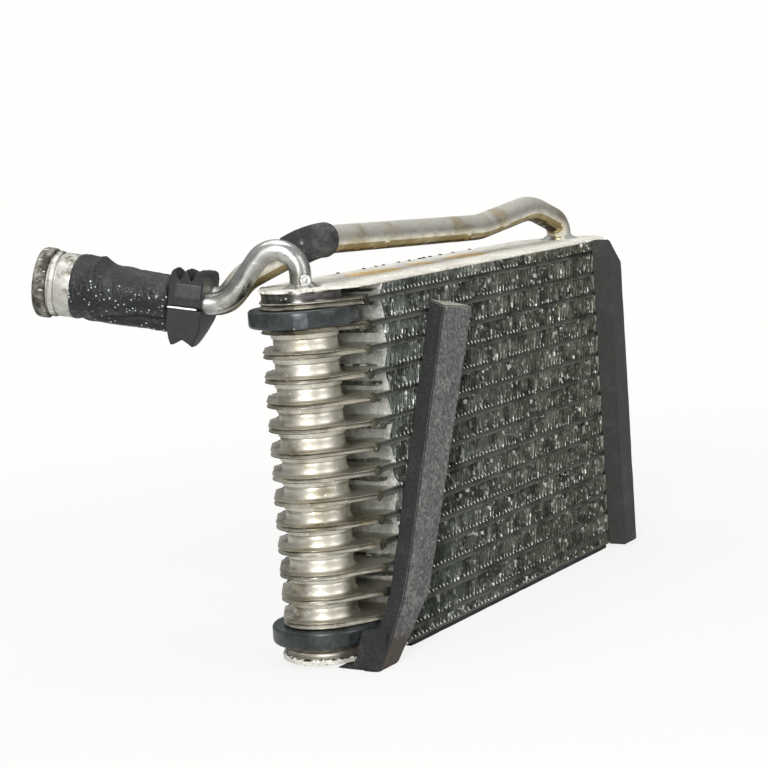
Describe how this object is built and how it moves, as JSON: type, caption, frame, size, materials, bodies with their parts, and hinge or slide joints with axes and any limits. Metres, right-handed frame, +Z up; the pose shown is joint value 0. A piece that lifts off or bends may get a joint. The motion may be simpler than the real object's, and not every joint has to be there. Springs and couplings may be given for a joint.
{
  "type": "air conditioning evaporator core",
  "caption": "Used stacked-plate air conditioning evaporator core with round end tanks, two pipes through a split rubber grommet into a round connector, and foam seals.",
  "frame": {"origin": "on the floor under the middle of the core, on the underside of the base foam pad", "axes": "+X along the flat tubes towards the outlet tank, +Y to the side that the pipes leave on, +Z up the stack"},
  "size_m": [0.4162, 0.1956, 0.2392],
  "materials": {
    "tube_aluminium": "satin, lightly oxidised",
    "fin_aluminium": "dull, dusty",
    "plate_aluminium": "chalky, stained",
    "inlet_pipe_aluminium": "satin",
    "outlet_pipe_aluminium": "satin, dirty",
    "braze_metal": "bright, lumpy",
    "connector_aluminium": "dull, scuffed",
    "ring_rubber": "satin",
    "grommet_rubber": "satin",
    "black_tape": "creased, slight gloss",
    "sleeve_foam": "matt",
    "strip_foam": "matt, open skin",
    "pad_foam": "matt"
  },
  "bodies": {
    "root": {"tube_plate_01": "tube_aluminium", "tube_plate_02": "tube_aluminium", "tube_plate_03": "tube_aluminium", "tube_plate_04": "tube_aluminium", "tube_plate_05": "tube_aluminium", "tube_plate_06": "tube_aluminium", "tube_plate_07": "tube_aluminium", "tube_plate_08": "tube_aluminium", "tube_plate_09": "tube_aluminium", "tube_plate_10": "tube_aluminium", "tube_plate_11": "tube_aluminium", "tube_plate_12": "tube_aluminium", "tube_plate_13": "tube_aluminium", "tube_plate_14": "tube_aluminium", "tube_plate_15": "tube_aluminium", "fin_row_01": "fin_aluminium", "fin_row_02": "fin_aluminium", "fin_row_03": "fin_aluminium", "fin_row_04": "fin_aluminium", "fin_row_05": "fin_aluminium", "fin_row_06": "fin_aluminium", "fin_row_07": "fin_aluminium", "fin_row_08": "fin_aluminium", "fin_row_09": "fin_aluminium", "fin_row_10": "fin_aluminium", "fin_row_11": "fin_aluminium", "fin_row_12": "fin_aluminium", "fin_row_13": "fin_aluminium", "fin_row_14": "fin_aluminium", "fin_row_15": "fin_aluminium", "fin_row_16": "fin_aluminium", "bottom_side_plate": "plate_aluminium", "top_side_plate": "plate_aluminium", "lower_tank_ring": "ring_rubber", "upper_tank_ring": "ring_rubber", "inlet_pipe": "inlet_pipe_aluminium", "outlet_pipe": "outlet_pipe_aluminium", "inlet_braze_ring": "braze_metal", "outlet_braze_ring": "braze_metal", "foam_sleeve": "sleeve_foam", "grommet_upper_half": "grommet_rubber", "grommet_lower_half": "grommet_rubber", "tape_wrap": "black_tape", "pipe_connector": "connector_aluminium", "loose_foam_strip": "strip_foam", "corner_foam_strip": "strip_foam", "base_foam_pad": "pad_foam"}
  },
  "joints": []
}
